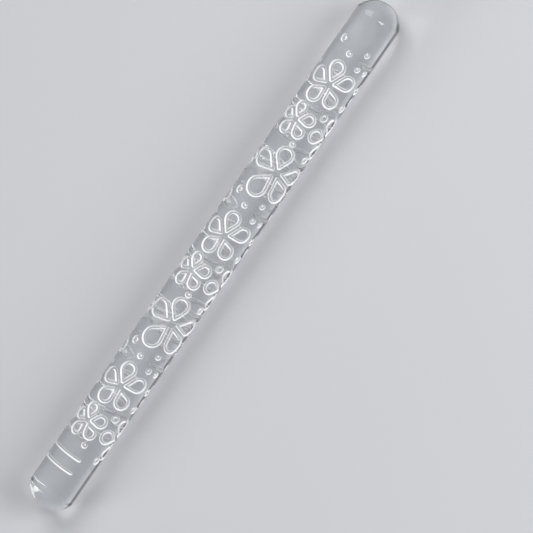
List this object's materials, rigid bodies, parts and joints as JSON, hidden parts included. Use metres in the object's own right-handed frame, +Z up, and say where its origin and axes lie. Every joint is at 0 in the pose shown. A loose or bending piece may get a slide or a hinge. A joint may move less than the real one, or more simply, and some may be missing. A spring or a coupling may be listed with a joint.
{
  "type": "rolling pin",
  "caption": "Solid clear acrylic rod with rounded ends and a flower and dot pattern sunk into its surface, for rolling a texture into icing or dough.",
  "frame": {"origin": "middle of the rod, on its axis", "axes": "+X along the rod from the end with the two short arcs to the plain end, +Z up, the side that faces up as it lies in use"},
  "size_m": [0.25, 0.02, 0.02],
  "materials": {
    "clear_acrylic": "clear and polished, with frosted sunk lines"
  },
  "bodies": {
    "root": {"engraved_rod": "clear_acrylic"}
  },
  "joints": []
}
